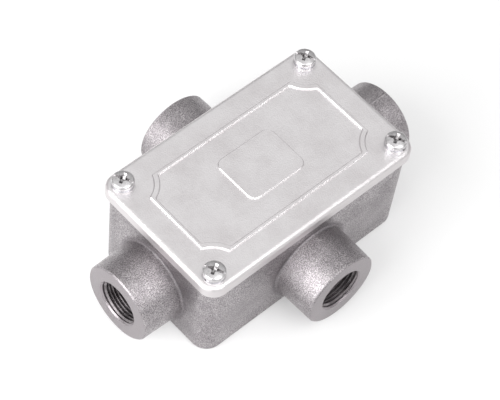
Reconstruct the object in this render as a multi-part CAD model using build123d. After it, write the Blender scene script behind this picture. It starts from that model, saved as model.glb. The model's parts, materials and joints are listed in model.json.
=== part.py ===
# Four-way cast aluminium junction box for 20 mm conduit, with a screwed and gasketed lid.
# Millimetres. The origin is the centre of the underside, +X runs along the long side and
# +Z points up through the lid.
import os
from math import radians, sqrt, tan

from build123d import *

os.makedirs("parts", exist_ok=True)

# Lid casting
lid_length = 114.0
lid_width = 69.0
lid_thickness = 6.0
lid_corner_r = 7.0
lid_edge_r = 2.1
lid_under_chamfer = 0.4
lid_recess_depth = 2.8
lid_recess_step = 0.6       # the recess keeps this far inside the cavity
bead_margin = 11.0          # rim of the lid to the raised bead
bead_width = 1.7
bead_height = 0.7
bead_scoop_r = 12.4         # corners of the bead are scooped out round the screws
bead_scoop_width = 2.6
bead_corner_r = 0.8
bead_chamfer = 0.4
pad_length = 30.0           # plain pad in the middle of the lid
pad_width = 24.0
pad_corner_r = 4.0
pad_height = 0.6
pad_chamfer = 0.35

# Box casting
lid_overhang = 1.2
body_height = 45.0
body_corner_r = 8.0
body_wall = 4.2
floor_thickness = 4.5
draft = 0.5                 # degrees, so that pattern and core leave the sand
base_edge_r = 1.6
cavity_corner_r = 2.5

# Conduit hubs, one in the middle of each side
hub_stand_out_x = 19.2      # rim of the box to the face of an end hub
hub_stand_out_y = 19.7      # the same for a side hub
hub_height = 20.2           # axis above the underside
hub_face_r = 17.6
hub_draft = 1.3             # degrees, thicker towards the wall
hub_root_r = 1.0
hub_edge_chamfer = 0.6
thread_major_r = 10.0       # M20 x 1.5, cut at the root of its thread
thread_length = 17.0
mouth_chamfer = 0.7
throat_r = 8.2              # smooth hole behind the thread, a stop for the conduit
bush_chamfer = 1.4          # broken edge where the cables enter the box

# Lid screws, M5 pan head with a cross and a slot
screw_inset = 7.0           # rim of the lid to the screw axis
screw_r = 2.5
screw_length = 16.0
screw_head_r = 4.75
screw_head_height = 2.6
screw_turn = -63.0          # degrees, the way the slots point
lid_hole_r = 2.75
tapped_depth = 14.0
boss_size = 7.5             # screw axis to the sides of its corner boss
boss_corner_r = 4.5

# Washers under the lid screws
flat_washer_r = 4.75
flat_washer_thickness = 0.8
spring_washer_r = 4.6
spring_washer_thickness = 1.2
washer_hole_r = 2.65

# Gasket in a groove of the lid
groove_inset = 0.9          # land left between the cavity and the groove
groove_width = 2.4
groove_depth = 2.0
gasket_side_gap = 0.1

# Earth terminal on a boss on the floor, M4
earth_wall_gap = 5.2        # inside of the end wall to the screw axis
earth_post_gap = 6.4        # side of the corner boss to the screw axis
earth_boss_r = 5.2
earth_boss_height = 5.0
earth_screw_r = 2.0
earth_screw_length = 8.0
earth_head_r = 4.0
earth_head_height = 2.4
earth_washer_r = 4.4
earth_washer_thickness = 0.8
earth_spring_r = 3.8
earth_spring_thickness = 1.0
earth_washer_hole_r = 2.15
earth_tapped_depth = 6.8
earth_turn = 20.0

# Shared small sizes
thread_clearance = 0.05     # between a screw and its tapped hole
washer_slit = 0.8           # gap in a split washer
washer_slit_angle = 25.0    # degrees off the screw axis
past = 1.0                  # how far a cutter runs past the face it opens

# Sizes that follow
body_length = lid_length - 2 * lid_overhang
body_width = lid_width - 2 * lid_overhang
seal_z = body_height
lid_top_z = seal_z + lid_thickness
head_seat_z = lid_top_z + flat_washer_thickness + spring_washer_thickness
screw_x = lid_length / 2 - screw_inset
screw_y = lid_width / 2 - screw_inset
corners = [(-1, 1), (-1, -1), (1, -1), (1, 1)]
draft_slope = tan(radians(draft))
earth_x = body_length / 2 - body_wall - earth_wall_gap
earth_y = -(screw_y - boss_size - earth_post_gap)
earth_seat_z = floor_thickness + earth_boss_height
earth_head_z = earth_seat_z + earth_washer_thickness + earth_spring_thickness


# Everything outward of a screw, towards one corner of the box, from a point on the diagonal.
def corner_field(side_x, side_y, back_off):
    sides = (Align.MIN if side_x > 0 else Align.MAX, Align.MIN if side_y > 0 else Align.MAX)
    place = Pos(side_x * (screw_x - back_off), side_y * (screw_y - back_off))
    return place * Rectangle(lid_length, lid_width, align=sides)


# Outline of the cavity with sharp corners and a square post left for each screw. A negative
# step gives the same outline further out.
def sharp_cavity(step=0.0):
    outline = Rectangle(
        body_length - 2 * body_wall - 2 * step, body_width - 2 * body_wall - 2 * step)
    for side_x, side_y in corners:
        outline -= corner_field(side_x, side_y, boss_size + step)
    return outline


# Those of the given corners that stand at (x, y) or at its mirror images, give or take what
# the draft shifts them.
def corners_at(found, x, y):
    lean = body_height * draft_slope
    return [
        c for c in found
        if abs(abs(c.center().X) - x) < lean and abs(abs(c.center().Y) - y) < lean
    ]


# Rounds the corners that pick finds, those against the walls and then those of the posts.
def round_cavity(shape, pick, step=0.0):
    wall_x = body_length / 2 - body_wall - step
    wall_y = body_width / 2 - body_wall - step
    post_x = screw_x - boss_size - step
    post_y = screw_y - boss_size - step
    found = pick(shape)
    by_walls = corners_at(found, wall_x, post_y) + corners_at(found, post_x, wall_y)
    shape = fillet(by_walls, cavity_corner_r - step)
    return fillet(corners_at(pick(shape), post_x, post_y), boss_corner_r + step)


def cavity_outline(step=0.0):
    return round_cavity(sharp_cavity(step), lambda outline: outline.vertices(), step)


# The core that leaves the cavity. Its faces get their draft first and are rounded after.
def cavity_core():
    depth = body_height - floor_thickness
    core = extrude(Pos(0, 0, seal_z) * sharp_cavity(), amount=-depth, taper=draft)
    return round_cavity(core, lambda solid: solid.edges().filter_by(is_upright))


def is_upright(edge):
    return abs(edge.tangent_at(0.5).Z) > 0.9


# Outline of the bead on the lid: a rectangle scooped out concentric with the screws.
def bead_outline(margin, scoop_r):
    outline = Rectangle(lid_length - 2 * margin, lid_width - 2 * margin)
    for side_x, side_y in corners:
        scoop = Pos(side_x * screw_x, side_y * screw_y) * Circle(scoop_r)
        outline -= corner_field(side_x, side_y, 0) + scoop
    return fillet(outline.vertices(), bead_corner_r)


# One hub, drawn along +X from inside the wall to its face, then turned on its axis.
def hub(reach, wall):
    root_r = hub_face_r + (reach - wall) * tan(radians(hub_draft))
    inside = wall - body_wall / 2
    flare_end = wall + hub_root_r
    with BuildPart() as made:
        with BuildSketch(Plane.XZ):
            with BuildLine():
                Polyline((reach, 0), (inside, 0), (inside, root_r + hub_root_r),
                         (wall, root_r + hub_root_r))
                RadiusArc((wall, root_r + hub_root_r), (flare_end, root_r), -hub_root_r)
                Polyline((flare_end, root_r), (reach - hub_edge_chamfer, hub_face_r),
                         (reach, hub_face_r - hub_edge_chamfer), (reach, 0))
            make_face()
        revolve(axis=Axis.X)
    return Pos(0, 0, hub_height) * made.part


# The hole through one hub: mouth, thread, stop and the broken edge inside the box.
def hub_bore(reach, wall):
    inside = wall - body_wall
    stop = reach - thread_length
    profile = Polygon(
        (inside, throat_r + bush_chamfer), (inside + bush_chamfer, throat_r),
        (stop, throat_r), (stop, thread_major_r), (reach - mouth_chamfer, thread_major_r),
        (reach, thread_major_r + mouth_chamfer), (reach + past, thread_major_r + mouth_chamfer),
        (reach + past, 0), (inside - past, 0), (inside - past, throat_r + bush_chamfer),
        align=None)
    return Pos(0, 0, hub_height) * revolve(Plane.XZ * profile, axis=Axis.X)


# The four sides as (reach of the hub, distance of the drafted wall at hub height, turn).
def sides():
    lost = (body_height - hub_height) * draft_slope
    along = (body_length / 2 + hub_stand_out_x, body_length / 2 - lost)
    across = (body_width / 2 + hub_stand_out_y, body_width / 2 - lost)
    return [(*along, 0), (*across, 90), (*along, 180), (*across, 270)]


def make_body():
    rim = Pos(0, 0, seal_z) * RectangleRounded(body_length, body_width, body_corner_r)
    body = extrude(rim, amount=-body_height, taper=draft)
    body = fillet(body.edges().group_by(Axis.Z)[0], base_edge_r)
    for reach, wall, turn in sides():
        body += Rot(0, 0, turn) * hub(reach, wall)
    body -= cavity_core()
    body += earth_boss()
    for reach, wall, turn in sides():
        body -= Rot(0, 0, turn) * hub_bore(reach, wall)
    for side_x, side_y in corners:
        body -= Pos(side_x * screw_x, side_y * screw_y, seal_z) * tapped_hole(
            screw_r, tapped_depth)
    body -= Pos(earth_x, earth_y, earth_seat_z) * tapped_hole(earth_screw_r, earth_tapped_depth)
    return body


# A round boss on the floor, joined to the end wall behind it.
def earth_boss():
    foot = floor_thickness / 2
    height = earth_seat_z - foot
    bottom = (Align.CENTER, Align.CENTER, Align.MIN)
    boss = Cylinder(earth_boss_r, height, align=bottom)
    boss += Box(earth_wall_gap + body_wall / 2, 2 * earth_boss_r, height,
                align=(Align.MIN, Align.CENTER, Align.MIN))
    return Pos(earth_x, earth_y, foot) * boss


# A blind hole below the origin with the cone that a drill leaves.
def tapped_hole(nominal_r, depth):
    r = nominal_r
    down = (Align.CENTER, Align.CENTER, Align.MAX)
    hole = Pos(0, 0, past) * Cylinder(r, depth + past, align=down)
    return hole + Pos(0, 0, -depth) * Cone(0, r, r / sqrt(3), align=down)


def make_lid():
    lid = extrude(RectangleRounded(lid_length, lid_width, lid_corner_r), amount=lid_thickness)
    lid = fillet(lid.edges().group_by(Axis.Z)[-1], lid_edge_r)
    lid = chamfer(lid.edges().group_by(Axis.Z)[0], lid_under_chamfer)
    lid += Pos(0, 0, lid_thickness) * (bead() + pad())
    lid -= extrude(cavity_outline(lid_recess_step), amount=lid_recess_depth)
    lid -= extrude(groove_ring(), amount=groove_depth)
    for side_x, side_y in corners:
        hole = Cylinder(lid_hole_r, 2 * (lid_thickness + past))
        lid -= Pos(side_x * screw_x, side_y * screw_y) * hole
    return Pos(0, 0, seal_z) * lid


# Raised features stand on the lid's top at z = 0 and reach a little into it.
def bead():
    outer = bead_outline(bead_margin, bead_scoop_r)
    inner = bead_outline(bead_margin + bead_width, bead_scoop_r + bead_scoop_width)
    ridge = extrude(outer - inner, amount=bead_height)
    ridge = chamfer(ridge.edges().group_by(Axis.Z)[-1], bead_chamfer)
    return ridge + Pos(0, 0, -past) * extrude(outer - inner, amount=past)


def pad():
    outline = RectangleRounded(pad_length, pad_width, pad_corner_r)
    raised = extrude(outline, amount=pad_height)
    raised = chamfer(raised.edges().group_by(Axis.Z)[-1], pad_chamfer)
    return raised + Pos(0, 0, -past) * extrude(outline, amount=past)


def groove_ring(side_gap=0.0):
    outer = groove_inset + groove_width - side_gap
    inner = groove_inset + side_gap
    return cavity_outline(-outer) - cavity_outline(-inner)


def make_gasket():
    return Pos(0, 0, seal_z) * extrude(groove_ring(gasket_side_gap), amount=groove_depth)


# A pan head screw standing on z = 0, its shank pointing down, with a cross and slot.
def pan_screw(shank_r, length, head_r, head_height):
    crown_r = 2.2 * head_r
    shoulder_r = 0.25 * head_r
    side_z = head_height - crown_r + sqrt(
        (crown_r - shoulder_r) ** 2 - (head_r - shoulder_r) ** 2)
    crown_z = head_height - crown_r
    # the shoulder meets the crown on the line through both centres
    spread = (head_r - shoulder_r) / (crown_r - shoulder_r)
    meet = (crown_r * spread, crown_z + crown_r * sqrt(1 - spread**2))
    point = 0.25 * shank_r
    with BuildPart() as made:
        with BuildSketch(Plane.XZ):
            with BuildLine():
                Polyline((0, head_height), (0, -length), (shank_r - point, -length),
                         (shank_r, point - length), (shank_r, 0), (head_r, 0),
                         (head_r, side_z))
                RadiusArc((head_r, side_z), meet, -shoulder_r)
                RadiusArc(meet, (0, head_height), -crown_r)
            make_face()
        revolve(axis=Axis.Z)
    return made.part - recess(head_r, head_height)


# Cross and slot cut into the crown, sized from the head.
def recess(head_r, head_height):
    wing_top = 0.66 * head_r
    wing_foot = 0.16 * head_r
    wing_width = 0.3 * head_r
    depth = 0.72 * head_height
    slot_width = 0.25 * head_r
    slot_depth = 0.5 * head_height
    top = head_height + past
    flare = (wing_top - wing_foot) / depth * past
    side = Polygon(
        (-wing_top - flare, top), (wing_top + flare, top),
        (wing_foot, head_height - depth), (-wing_foot, head_height - depth), align=None)
    wing = extrude(Plane.XZ * side, amount=wing_width / 2, both=True)
    core = Pos(0, 0, top) * Cone(
        wing_foot, 0.6 * wing_top, depth + past, align=(Align.CENTER, Align.CENTER, Align.MAX))
    slot = Pos(0, 0, head_height) * Box(3 * head_r, slot_width, 2 * slot_depth)
    return wing + Rot(0, 0, 90) * wing + core + slot


def flat_washer(outer_r, hole_r, thickness):
    return extrude(Circle(outer_r) - Circle(hole_r), amount=thickness)


# A split washer pressed flat, with a slanting slit on its +X side.
def split_washer(outer_r, hole_r, thickness):
    slit = Box(2 * outer_r, washer_slit, 4 * thickness, align=(Align.MIN, Align.CENTER, Align.CENTER))
    slit = Pos(0, 0, thickness / 2) * Rot(washer_slit_angle, 0, 0) * slit
    return flat_washer(outer_r, hole_r, thickness) - slit


def write(name, shape):
    export_step(shape, f"parts/{name}.step")


write("box_body", make_body())
write("lid", make_lid())
write("lid_gasket", make_gasket())

lid_screw = pan_screw(
    screw_r - thread_clearance, screw_length, screw_head_r, screw_head_height)
for number, (side_x, side_y) in enumerate(corners, start=1):
    axis = Pos(side_x * screw_x, side_y * screw_y)
    spring_z = lid_top_z + flat_washer_thickness
    flat = flat_washer(flat_washer_r, washer_hole_r, flat_washer_thickness)
    split = split_washer(spring_washer_r, washer_hole_r, spring_washer_thickness)
    write(f"lid_flat_washer_{number}", axis * Pos(0, 0, lid_top_z) * flat)
    write(f"lid_spring_washer_{number}", axis * Pos(0, 0, spring_z) * Rot(0, 0, 90 * number) * split)
    write(f"lid_screw_{number}", axis * Pos(0, 0, head_seat_z) * Rot(0, 0, screw_turn) * lid_screw)

earth_axis = Pos(earth_x, earth_y)
earth_screw = pan_screw(
    earth_screw_r - thread_clearance, earth_screw_length, earth_head_r, earth_head_height)
earth_flat = flat_washer(earth_washer_r, earth_washer_hole_r, earth_washer_thickness)
earth_split = split_washer(earth_spring_r, earth_washer_hole_r, earth_spring_thickness)
write("earth_flat_washer", earth_axis * Pos(0, 0, earth_seat_z) * earth_flat)
write("earth_spring_washer",
      earth_axis * Pos(0, 0, earth_seat_z + earth_washer_thickness) * earth_split)
write("earth_screw", earth_axis * Pos(0, 0, earth_head_z) * Rot(0, 0, earth_turn) * earth_screw)
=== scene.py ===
import json
from functools import partial
from math import ceil, cos, pi, radians, sin

import bpy
from mathutils import Matrix, Vector


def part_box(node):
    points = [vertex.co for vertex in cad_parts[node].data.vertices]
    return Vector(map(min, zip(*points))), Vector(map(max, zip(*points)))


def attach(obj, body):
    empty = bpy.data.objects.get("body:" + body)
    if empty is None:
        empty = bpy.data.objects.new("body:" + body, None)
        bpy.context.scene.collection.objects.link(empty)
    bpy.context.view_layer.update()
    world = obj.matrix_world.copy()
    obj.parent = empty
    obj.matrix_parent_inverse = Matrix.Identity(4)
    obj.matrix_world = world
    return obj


mm = 0.001
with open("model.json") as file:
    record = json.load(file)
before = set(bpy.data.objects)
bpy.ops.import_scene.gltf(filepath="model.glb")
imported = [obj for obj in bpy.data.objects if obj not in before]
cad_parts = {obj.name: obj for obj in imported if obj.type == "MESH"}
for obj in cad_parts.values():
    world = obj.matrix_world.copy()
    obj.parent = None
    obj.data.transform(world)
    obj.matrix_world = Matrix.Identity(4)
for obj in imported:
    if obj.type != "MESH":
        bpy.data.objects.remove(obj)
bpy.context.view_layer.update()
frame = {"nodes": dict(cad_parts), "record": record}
print("frame loaded,", len(frame["nodes"]), "pieces")


def hexToLinear(code):
    # sRGB hex to the linear colour that Blender's sockets take
    values = [int(code[k:k + 2], 16) / 255 for k in (1, 3, 5)]
    return [v / 12.92 if v <= 0.04045 else ((v + 0.055) / 1.055) ** 2.4 for v in values] + [1.0]


def addNode(tree, kind, inputs=None, **settings):
    # one node: its settings, then its sockets, each a number, a colour, a socket or a node,
    # where a node stands for its first output in use
    node = tree.nodes.new(kind)
    for name, value in settings.items():
        setattr(node, name, value)
    for name, value in (inputs or {}).items():
        if isinstance(value, bpy.types.Node):
            value = next(out for out in value.outputs if out.enabled)
        if isinstance(value, bpy.types.NodeSocket):
            tree.links.new(value, node.inputs[name])
        else:
            node.inputs[name].default_value = value
    return node


def startMaterial(name):
    # an empty tree, the way to add to it, and object coordinates turned to millimetres
    material = bpy.data.materials.new(name)
    material.use_nodes = True
    material.node_tree.nodes.clear()
    add = partial(addNode, material.node_tree)
    place = add("ShaderNodeTexCoord").outputs["Object"]
    placeMm = add("ShaderNodeVectorMath", {0: place, "Scale": 1 / mm}, operation="SCALE")
    return material, add, placeMm


# Sizes in mm that the materials and the threads share with the box, the outer ones read
# off its solids
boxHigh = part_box("box_body")[1] / mm
lidLow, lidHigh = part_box("lid")[0] / mm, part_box("lid")[1] / mm
hub = {
    "reachX": boxHigh.x,
    "reachY": boxHigh.y,
    "axisZ": 20.2,        # hub axis above the underside
    "rootR": 18.1,        # outside of the hub where it meets the wall
    "rootRounding": 1.0,
    "threadR": 10.0,      # root of the M20 thread
    "threadLength": 17.0,
    "chamfer": 0.7,
}
wallInset = 1.4           # rim of the lid to the wall of the box at hub height
noiseSpan = (0.3, 0.7)    # where nearly all values of a noise texture lie

# The box: gravity cast aluminium, shot blasted. Blasting leaves a dull grey skin with
# bright flecks, and the hub faces are turned bright after it.
castSkin = {
    "base": "#908B8E", "fleck": "#CEC9CB", "pitAndShade": "#757073",
    "machined": "#9D979A",
    "roughness": 0.36, "flatter": 0.1, "shinier": 0.08,
    "machinedRoughness": 0.33, "machinedGrain": 0.6,
    "grainMm": 0.38, "grainDepthMm": 0.15,   # shot marks, as coarse as they need to show
    "fleckRange": (0.46, 0.62), "pitRange": (0.46, 0.34),
    "peelMm": 5.0, "peelDepthMm": 0.12,      # the mould's own waviness
    "stainMm": 12.0, "stainRange": (0.42, 0.68), "stainShare": 0.45,
    "turningMm": 0.55, "turningDepthMm": 0.03,
    "faceSlackMm": 0.05, "boreSlackMm": 0.9,     # how far the turned zones reach past their edges
    "partingMm": 0.12, "partingFade": 2.5, "partingDepthMm": 0.15, "partingShare": 0.6,
    "paintedRootShade": 0.55, "rootRoughness": 0.8,     # painted shade and a duller skin in the hub roots
    "rootFromWallMm": 0.4, "rootFromHubMm": (2.6, 0.8),
}


def castAluminium():
    material, add, place = startMaterial("castAluminiumBlasted")
    grain = add("ShaderNodeTexNoise", {
        "Vector": place, "Scale": 1 / castSkin["grainMm"], "Detail": 3.0, "Roughness": 0.6})
    peel = add("ShaderNodeTexNoise", {"Vector": place, "Scale": 1 / castSkin["peelMm"]})
    stain = add("ShaderNodeTexNoise", {
        "Vector": place, "Scale": 1 / castSkin["stainMm"], "Detail": 4.0, "Roughness": 0.65})
    fromHub = add("ShaderNodeVectorMath", {0: place, 1: (0, 0, hub["axisZ"])}, operation="SUBTRACT")
    signed = add("ShaderNodeSeparateXYZ", {0: fromHub}).outputs
    away = add("ShaderNodeSeparateXYZ", {
        0: add("ShaderNodeVectorMath", {0: fromHub}, operation="ABSOLUTE")}).outputs

    masks = []
    for along, keep, reach, wall in (("X", (0, 1, 1), hub["reachX"], lidHigh.x - wallInset),
                                     ("Y", (1, 0, 1), hub["reachY"], lidHigh.y - wallInset)):
        flat = add("ShaderNodeVectorMath", {0: fromHub, 1: keep}, operation="MULTIPLY")
        radius = add("ShaderNodeVectorMath", {0: flat}, operation="LENGTH")
        face = add("ShaderNodeMath", {0: away[along], 1: reach - castSkin["faceSlackMm"]},
                   operation="GREATER_THAN")
        deep = add("ShaderNodeMath", {
            0: away[along], 1: reach - hub["threadLength"] - castSkin["faceSlackMm"]},
            operation="GREATER_THAN")
        narrow = add("ShaderNodeMath", {0: radius, 1: hub["threadR"] + castSkin["boreSlackMm"]},
                     operation="LESS_THAN")
        bore = add("ShaderNodeMath", {0: deep, 1: narrow}, operation="MULTIPLY")
        wave = add("ShaderNodeMath", {0: add("ShaderNodeMath", {
            0: radius, 1: 2 * pi / castSkin["turningMm"]}, operation="MULTIPLY")}, operation="SINE")
        rings = add("ShaderNodeMath", {0: wave, 1: face}, operation="MULTIPLY")
        # painted shade, and a duller skin, in the rounding where the hub meets the wall
        wallEnd = wall + castSkin["rootFromWallMm"]
        nearWall = add("ShaderNodeMapRange", {
            "Value": away[along], "From Min": wallEnd + hub["rootRounding"], "From Max": wallEnd})
        outer, inner = castSkin["rootFromHubMm"]
        nearHub = add("ShaderNodeMapRange", {
            "Value": radius, "From Min": hub["rootR"] + outer, "From Max": hub["rootR"] + inner})
        rootShade = add("ShaderNodeMath", {0: nearWall, 1: nearHub}, operation="MULTIPLY")
        masks.append((add("ShaderNodeMath", {0: face, 1: bore}, operation="MAXIMUM"), rings, rootShade))
    machined, rings, rootShade = (
        add("ShaderNodeMath", {0: end, 1: side}, operation=how)
        for end, side, how in zip(*masks, ("MAXIMUM", "ADD", "MAXIMUM")))

    # where the mould halves met, a fine raised line runs along the top of the right hub
    nearLine = add("ShaderNodeMapRange", {
        "Value": away["Y"], "From Min": castSkin["partingMm"] * castSkin["partingFade"],
        "From Max": castSkin["partingMm"]})
    beyondLid = add("ShaderNodeMath", {0: signed["X"], 1: lidHigh.x}, operation="GREATER_THAN")
    onTop = add("ShaderNodeMath", {0: signed["Z"], 1: 0.0}, operation="GREATER_THAN")
    parting = add("ShaderNodeMath", {0: nearLine, 1: add("ShaderNodeMath", {
        0: beyondLid, 1: onTop}, operation="MULTIPLY")}, operation="MULTIPLY")

    # each layer of colour goes over the last by its own share
    fleckShare = add("ShaderNodeMapRange", {
        "Value": grain, "From Min": castSkin["fleckRange"][0],
        "From Max": castSkin["fleckRange"][1]})
    pitShare = add("ShaderNodeMapRange", {
        "Value": grain, "From Min": castSkin["pitRange"][0], "From Max": castSkin["pitRange"][1]})
    stainShare = add("ShaderNodeMapRange", {
        "Value": stain, "From Min": castSkin["stainRange"][0],
        "From Max": castSkin["stainRange"][1], "To Max": castSkin["stainShare"]})
    # painted shade: the pit colour laid into the hub roots
    paintedRootShade = add("ShaderNodeMath", {0: rootShade, 1: castSkin["paintedRootShade"]}, operation="MULTIPLY")
    lineShare = add("ShaderNodeMath", {0: parting, 1: castSkin["partingShare"]},
                    operation="MULTIPLY")
    tone = hexToLinear(castSkin["base"])
    for share, colour in ((fleckShare, "fleck"), (pitShare, "pitAndShade"), (stainShare, "pitAndShade"),
                          (paintedRootShade, "pitAndShade"), (machined, "machined"), (lineShare, "fleck")):
        tone = add("ShaderNodeMix", {0: share, 6: tone, 7: hexToLinear(castSkin[colour])},
                   data_type="RGBA")
    rough = add("ShaderNodeMapRange", {
        "Value": grain, "From Min": noiseSpan[0], "From Max": noiseSpan[1],
        "To Min": castSkin["roughness"] + castSkin["flatter"],
        "To Max": castSkin["roughness"] - castSkin["shinier"]})
    rough = add("ShaderNodeMix", {0: machined, 2: rough, 3: castSkin["machinedRoughness"]})
    rough = add("ShaderNodeMix", {0: paintedRootShade, 2: rough, 3: castSkin["rootRoughness"]})

    # and each relief goes over the last by its own depth
    skin = add("ShaderNodeMapRange", {
        "Value": machined, "To Min": 1.0, "To Max": castSkin["machinedGrain"]})
    marks = add("ShaderNodeMath", {0: grain, 1: skin}, operation="MULTIPLY")
    normal = add("ShaderNodeBump", {"Height": peel, "Distance": castSkin["peelDepthMm"] * mm})
    for relief, depth in ((marks, "grainDepthMm"), (rings, "turningDepthMm"),
                          (parting, "partingDepthMm")):
        normal = add("ShaderNodeBump", {"Height": relief, "Distance": castSkin[depth] * mm,
                                        "Normal": normal})
    skinShader = add("ShaderNodeBsdfPrincipled", {
        "Base Color": tone, "Metallic": 1.0, "Roughness": rough, "Normal": normal})
    add("ShaderNodeOutputMaterial", {"Surface": skinShader})
    return material


# The lid: die cast aluminium, tumbled smooth. It is brighter than the box, with faint
# clouds where the metal flowed and fine rubbing marks. Its side is trimmed on a belt, which
# leaves it duller, with fine lines along it, and its darker colour there is partly painted
# shade, which dims the highlight on the side and the lower rounding of the edge.
lidSkin = {
    "base": "#EDEAEB", "cloud": "#DFDBDC", "side": "#D6D2D3",
    "roughness": 0.33, "flatter": 0.05, "shinier": 0.04, "sideRoughness": 0.42,
    "cloudMm": 12.0, "cloudRange": (0.38, 0.7),
    "waveMm": 6.0, "waveDepthMm": 0.07,
    "rubMm": 0.55, "rubDepthMm": 0.15,        # drawn as coarse as it needs to show
    "sideHeight": 5.4, "sideBlendMm": 0.5,
    "lineMm": 0.5, "lineLengthMm": 20.0, "lineDepthMm": 0.05,
}


def dieCastAluminium():
    material, add, place = startMaterial("dieCastAluminiumTumbled")
    cloud = add("ShaderNodeTexNoise", {
        "Vector": place, "Scale": 1 / lidSkin["cloudMm"], "Detail": 6.0, "Roughness": 0.65})
    wave = add("ShaderNodeTexNoise", {"Vector": place, "Scale": 1 / lidSkin["waveMm"]})
    rub = add("ShaderNodeTexNoise", {
        "Vector": place, "Scale": 1 / lidSkin["rubMm"], "Detail": 3.0, "Roughness": 0.6})
    lineLong, lineWide = 1 / lidSkin["lineLengthMm"], 1 / lidSkin["lineMm"]
    stretched = add("ShaderNodeVectorMath", {0: place, 1: (lineLong, lineLong, lineWide)},
                    operation="MULTIPLY")
    lines = add("ShaderNodeTexNoise", {"Vector": stretched, "Scale": 1.0})
    height = add("ShaderNodeSeparateXYZ", {0: place}).outputs["Z"]
    sideTop = lidLow.z + lidSkin["sideHeight"]
    side = add("ShaderNodeMapRange", {
        "Value": height, "From Min": sideTop + lidSkin["sideBlendMm"], "From Max": sideTop})

    cloudShare = add("ShaderNodeMapRange", {
        "Value": cloud, "From Min": lidSkin["cloudRange"][0], "From Max": lidSkin["cloudRange"][1]})
    tone = hexToLinear(lidSkin["base"])
    # the side band: the belt-trimmed finish, and painted shade over the side and the lower part of
    # the edge's rounding
    for share, colour in ((cloudShare, "cloud"), (side, "side")):
        tone = add("ShaderNodeMix", {0: share, 6: tone, 7: hexToLinear(lidSkin[colour])},
                   data_type="RGBA")
    rough = add("ShaderNodeMapRange", {
        "Value": cloud, "From Min": noiseSpan[0], "From Max": noiseSpan[1],
        "To Min": lidSkin["roughness"] - lidSkin["shinier"],
        "To Max": lidSkin["roughness"] + lidSkin["flatter"]})
    rough = add("ShaderNodeMix", {0: side, 2: rough, 3: lidSkin["sideRoughness"]})

    trimmed = add("ShaderNodeMath", {0: lines, 1: side}, operation="MULTIPLY")
    normal = add("ShaderNodeBump", {"Height": wave, "Distance": lidSkin["waveDepthMm"] * mm})
    for relief, depth in ((rub, "rubDepthMm"), (trimmed, "lineDepthMm")):
        normal = add("ShaderNodeBump", {"Height": relief, "Distance": lidSkin[depth] * mm,
                                        "Normal": normal})
    skinShader = add("ShaderNodeBsdfPrincipled", {
        "Base Color": tone, "Metallic": 1.0, "Roughness": rough, "Normal": normal})
    add("ShaderNodeOutputMaterial", {"Surface": skinShader})
    return material


def mottledFinish(name, colours, spotMm, roughness, metallic, depthMm, grainMm=0.4, shadeAndDirt=None):
    # one colour in spots over another, a roughness that follows them, and a fine relief;
    # the last argument, if given, is a colour and a function that gives its share: painted shade
    # and dirt laid over the spots
    material, add, place = startMaterial(name)
    spotRange = (0.4, 0.7)
    spots = add("ShaderNodeTexNoise", {
        "Vector": place, "Scale": 1 / spotMm, "Detail": 3.0, "Roughness": 0.6})
    share = add("ShaderNodeMapRange", {
        "Value": spots, "From Min": spotRange[0], "From Max": spotRange[1]})
    tone = add("ShaderNodeMix", {0: share, 6: hexToLinear(colours[0]), 7: hexToLinear(colours[1])},
               data_type="RGBA")
    if shadeAndDirt:
        tone = add("ShaderNodeMix", {0: shadeAndDirt[1](add, place), 6: tone, 7: hexToLinear(shadeAndDirt[0])},
                   data_type="RGBA")
    rough = add("ShaderNodeMapRange", {
        "Value": spots, "From Min": noiseSpan[0], "From Max": noiseSpan[1],
        "To Min": roughness[0], "To Max": roughness[1]})
    fine = add("ShaderNodeTexNoise", {"Vector": place, "Scale": 1 / grainMm})
    normal = add("ShaderNodeBump", {"Height": fine, "Distance": depthMm * mm})
    skinShader = add("ShaderNodeBsdfPrincipled", {
        "Base Color": tone, "Metallic": metallic, "Roughness": rough, "Normal": normal})
    add("ShaderNodeOutputMaterial", {"Surface": skinShader})
    return material


# The lid screws' pan head, and the painted shade and dirt that the driver's cross holds
screwLow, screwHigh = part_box("lid_screw_4")[0] / mm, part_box("lid_screw_4")[1] / mm
screwHead = {
    "x": (screwLow.x + screwHigh.x) / 2, "y": (screwLow.y + screwHigh.y) / 2,
    "r": (screwHigh.x - screwLow.x) / 2, "top": screwHigh.z,
    "height": 2.6, "crownR": 10.45,
    "crossShare": 0.78, "heightShare": 0.95,     # how much of the head the cross can take up
    # painted shade and dirt in the cross: from how deep, in what patches, how dark
    "shadeAndDirtDepthMm": (0.15, 0.8),
    "shadeAndDirtPatchMm": 0.6, "patchRange": (0.35, 0.6), "shadeAndDirtShare": (0.3, 0.85),
}


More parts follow.
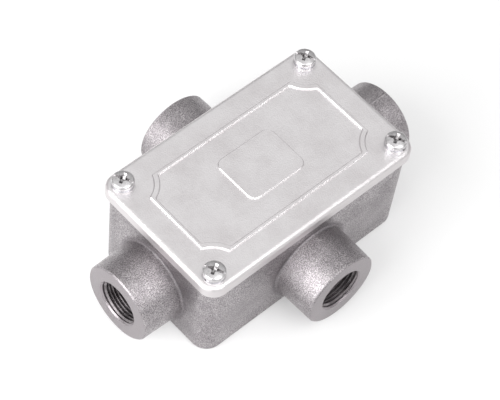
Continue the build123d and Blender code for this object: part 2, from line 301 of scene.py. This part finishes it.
def shadeAndDirtInRecess(add, place):
    # painted shade and dirt: none on the crown of a lid screw, most where its cross is well below
    # the crown
    folded = add("ShaderNodeVectorMath", {0: place}, operation="ABSOLUTE")
    fromTop = add("ShaderNodeVectorMath", {
        0: folded, 1: (screwHead["x"], screwHead["y"], screwHead["top"])}, operation="SUBTRACT")
    flat = add("ShaderNodeVectorMath", {0: fromTop, 1: (1, 1, 0)}, operation="MULTIPLY")
    radius = add("ShaderNodeVectorMath", {0: flat}, operation="LENGTH")
    squared = add("ShaderNodeMath", {0: radius, 1: 2.0}, operation="POWER")
    height = add("ShaderNodeSeparateXYZ", {0: fromTop}).outputs["Z"]
    crown = add("ShaderNodeMath", {0: squared, 1: -0.5 / screwHead["crownR"]}, operation="MULTIPLY")
    below = add("ShaderNodeMath", {0: crown, 1: height}, operation="SUBTRACT")
    deep = add("ShaderNodeMapRange", {
        "Value": below, "From Min": screwHead["shadeAndDirtDepthMm"][0],
        "From Max": screwHead["shadeAndDirtDepthMm"][1]})
    inside = add("ShaderNodeMath", {0: radius, 1: screwHead["crossShare"] * screwHead["r"]},
                 operation="LESS_THAN")
    inHead = add("ShaderNodeMath", {0: height, 1: -screwHead["heightShare"] * screwHead["height"]},
                 operation="GREATER_THAN")
    here = add("ShaderNodeMath", {0: inside, 1: inHead}, operation="MULTIPLY")
    patches = add("ShaderNodeTexNoise", {"Vector": place, "Scale": 1 / screwHead["shadeAndDirtPatchMm"]})
    patchy = add("ShaderNodeMapRange", {
        "Value": patches, "From Min": screwHead["patchRange"][0],
        "From Max": screwHead["patchRange"][1],
        "To Min": screwHead["shadeAndDirtShare"][0], "To Max": screwHead["shadeAndDirtShare"][1]})
    shadedAndDirty = add("ShaderNodeMath", {0: deep, 1: patchy}, operation="MULTIPLY")
    return add("ShaderNodeMath", {0: shadedAndDirty, 1: here}, operation="MULTIPLY")


finishes = {
    "body_casting": castAluminium(),
    "lid_casting": dieCastAluminium(),
    # moulded nitrile rubber: matt black with a faint bloom
    "gasket_rubber": mottledFinish("mouldedNitrile", ("#1D1C1C", "#2A2827"), spotMm=3.0,
                                   roughness=(0.55, 0.72), metallic=0.0, depthMm=0.02),
    # zinc plated steel, barrel plated: bright and faintly mottled, with painted shade and dirt in
    # the cross
    "zinc_steel": mottledFinish("zincPlatedSteel", ("#DAD8D9", "#BAB8B9"), spotMm=1.2,
                                roughness=(0.24, 0.38), metallic=1.0, depthMm=0.012,
                                shadeAndDirt=("#504C4D", shadeAndDirtInRecess)),
    # the split washers, plated the same way over hardened steel, a little darker
    "spring_steel": mottledFinish("zincPlatedSpringSteel", ("#C4C4C9", "#B0AFB3"), spotMm=1.2,
                                  roughness=(0.26, 0.4), metallic=1.0, depthMm=0.01),
    # turned brass, gone a little dull
    "earth_brass": mottledFinish("turnedBrass", ("#D9B46A", "#A98643"), spotMm=1.5,
                                 roughness=(0.24, 0.4), metallic=1.0, depthMm=0.006),
}
for part in frame["record"]["subparts"]:
    mesh = frame["nodes"][part["node"]].data
    mesh.materials.clear()
    mesh.materials.append(finishes[part["material_slot"]])
print("finishes made:", ", ".join(finishes))


# The conduit thread in each hub, one ridge wound inward from the root that the box holds
conduitThread = {
    "pitch": 1.5, "depth": 0.81, "flatShare": 0.14, "steps": 96,
    "footShare": 0.94,    # of the pitch that the ridge's foot covers
    "rootGap": 0.01,      # keeps the foot off the wall of the hole, mm
    "runOutTurns": 0.25, "endShare": 0.02,
    "startTurn": 0.5,     # from below the hub's axis; the ridge then ends above, out of sight
}


def woundRidge(name, rootR, length):
    # a helical ridge along +Z from z = 0; its height fades in and out over the end turns
    verts, faces = [], []
    pitch, runOut = conduitThread["pitch"], conduitThread["runOutTurns"]
    turns = length / pitch - 1
    count = ceil(turns * conduitThread["steps"])
    half, crest = pitch / 2, pitch * conduitThread["flatShare"] / 2
    foot = half * conduitThread["footShare"]
    for k in range(count + 1):
        turn = k / conduitThread["steps"]
        fade = min(1.0, turn / runOut, (turns - turn) / runOut)
        rise = conduitThread["depth"] * max(conduitThread["endShare"], fade)
        profile = ((-foot, rootR), (-crest, rootR - rise), (crest, rootR - rise), (foot, rootR))
        for alongZ, r in profile:
            verts.append((r * cos(2 * pi * turn) * mm, r * sin(2 * pi * turn) * mm,
                          (half + turn * pitch + alongZ) * mm))
    wide = len(profile)
    for k in range(count):
        for j in range(wide - 1):
            a, b = k * wide + j, k * wide + j + 1
            faces.append((a, b, b + wide, a + wide))
    mesh = bpy.data.meshes.new(name)
    mesh.from_pydata(verts, [], faces)
    mesh.validate()
    piece = bpy.data.objects.new(name, mesh)
    bpy.context.scene.collection.objects.link(piece)
    return piece


def conduitThreads():
    # cut thread: bright aluminium with a little dark cutting oil left between the ridges
    tapped = mottledFinish("tappedAluminium", ("#8F8A8C", "#5F5A5C"), spotMm=2.5,
                           roughness=(0.4, 0.46), metallic=1.0, depthMm=0.01, grainMm=0.3)
    rootR = hub["threadR"] + conduitThread["rootGap"]
    length = hub["threadLength"] - hub["chamfer"]
    start = Matrix.Rotation(2 * pi * conduitThread["startTurn"], 4, "Z")
    for name, reach, turn in (("right", hub["reachX"], 0), ("back", hub["reachY"], 90),
                              ("left", hub["reachX"], 180), ("front", hub["reachY"], 270)):
        piece = woundRidge("conduit_thread_" + name, rootR, length)
        # the ridge's own +Z turns to point out of the hub, and it ends at the mouth's chamfer
        inner = Matrix.Translation(((reach - hub["threadLength"]) * mm, 0, hub["axisZ"] * mm))
        lay = Matrix.Rotation(radians(turn), 4, "Z") @ inner
        piece.data.transform(lay @ Matrix.Rotation(radians(90), 4, "Y") @ start)
        piece.data.materials.append(tapped)
        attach(piece, "box")


conduitThreads()
print("conduit threads cut")

# Studio: a white table under a pale sky that darkens to the horizon, a long soft box on the
# left and a weaker one in front. Places and sizes in metres.
studio = {
    "floor": "#C8C8C8",
    "floorSize": 6, "floorHeight": -0.0002,
    "glow": 0.26,         # the floor's own light, seen by the camera and by reflections
    "glowBeside": 0.50,   # the same on the left and behind, where the walls mirror more light
    "glowBlendMm": (-70.0, 10.0),
    "skyTop": 0.88, "skyHorizon": 0.18, "skyTopFrom": 0.8,
    "left": {"place": (-2.12, 0.15, 1.12), "size": (1.9, 2.4), "power": 61.0},
    "front": {"place": (0.05, -1.60, 1.80), "size": (1.7, 2.4), "power": 33.0},
}


def whiteTable():
    material, add, place = startMaterial("whiteTable")
    paper = add("ShaderNodeBsdfDiffuse", {"Color": hexToLinear(studio["floor"])})
    rays = add("ShaderNodeLightPath").outputs
    mirrored = add("ShaderNodeMath", {0: rays["Is Glossy Ray"], 1: rays["Is Transmission Ray"]},
                   operation="MAXIMUM")
    seen = add("ShaderNodeMath", {0: rays["Is Camera Ray"], 1: mirrored}, operation="MAXIMUM")
    # the diagonal from the left and behind to the right and in front
    across = add("ShaderNodeVectorMath", {0: place, 1: (0.707, -0.707, 0)}, operation="DOT_PRODUCT")
    strength = add("ShaderNodeMapRange", {
        "Value": across, "From Min": studio["glowBlendMm"][0], "From Max": studio["glowBlendMm"][1],
        "To Min": studio["glowBeside"], "To Max": studio["glow"]})
    glow = add("ShaderNodeEmission", {
        "Strength": add("ShaderNodeMath", {0: seen, 1: strength}, operation="MULTIPLY")})
    both = add("ShaderNodeAddShader", {0: paper, 1: glow})
    add("ShaderNodeOutputMaterial", {"Surface": both})
    bpy.ops.mesh.primitive_plane_add(
        size=studio["floorSize"], location=(0, 0, studio["floorHeight"]))
    floor = bpy.context.object
    floor.name = "table"
    floor.data.materials.append(material)


def softBox(name, place, size, power):
    # an area lamp that faces the box
    lamp = bpy.data.lights.new(name, "AREA")
    lamp.shape = "RECTANGLE"
    lamp.size, lamp.size_y = size
    lamp.energy = power
    holder = bpy.data.objects.new(name, lamp)
    bpy.context.scene.collection.objects.link(holder)
    holder.location = place
    holder.rotation_euler = (-Vector(place)).to_track_quat("-Z", "Y").to_euler()


def paleSky():
    world = bpy.data.worlds.new("studio")
    bpy.context.scene.world = world
    world.use_nodes = True
    world.node_tree.nodes.clear()
    add = partial(addNode, world.node_tree)
    direction = add("ShaderNodeTexCoord").outputs["Generated"]
    upward = add("ShaderNodeSeparateXYZ", {0: direction}).outputs["Z"]
    strength = add("ShaderNodeMapRange", {
        "Value": upward, "From Max": studio["skyTopFrom"],
        "To Min": studio["skyHorizon"], "To Max": studio["skyTop"]})
    sky = add("ShaderNodeBackground", {"Color": (1, 1, 1, 1), "Strength": strength})
    add("ShaderNodeOutputWorld", {"Surface": sky})


paleSky()
whiteTable()
softBox("leftSoftBox", **studio["left"])
softBox("frontSoftBox", **studio["front"])
print("studio set")

# The photograph's own view, from a fit to the screws, edges and hub circles
photoView = {"azimuth": -49.25, "elevation": 55.41, "roll": 8.53, "distance": 0.8059,
             "target": (-0.00124, 0.00186, 0.02411), "lensMm": 139.1, "sensorMm": 36}


def photoCamera():
    a, e, roll = (radians(photoView[key]) for key in ("azimuth", "elevation", "roll"))
    back = Vector((sin(a) * cos(e), -cos(a) * cos(e), sin(e)))
    right = Vector((cos(a), sin(a), 0))
    up = back.cross(right)
    right, up = cos(roll) * right + sin(roll) * up, cos(roll) * up - sin(roll) * right
    camera = bpy.data.objects.new("photoCamera", bpy.data.cameras.new("photoCamera"))
    camera.data.lens = photoView["lensMm"]
    camera.data.sensor_width = photoView["sensorMm"]
    bpy.context.scene.collection.objects.link(camera)
    place = Matrix.Translation(Vector(photoView["target"]) + back * photoView["distance"])
    camera.matrix_world = place @ Matrix((right, up, back)).transposed().to_4x4()
    bpy.context.scene.camera = camera


photoCamera()
bpy.context.scene.view_settings.view_transform = "Standard"
print("camera placed")
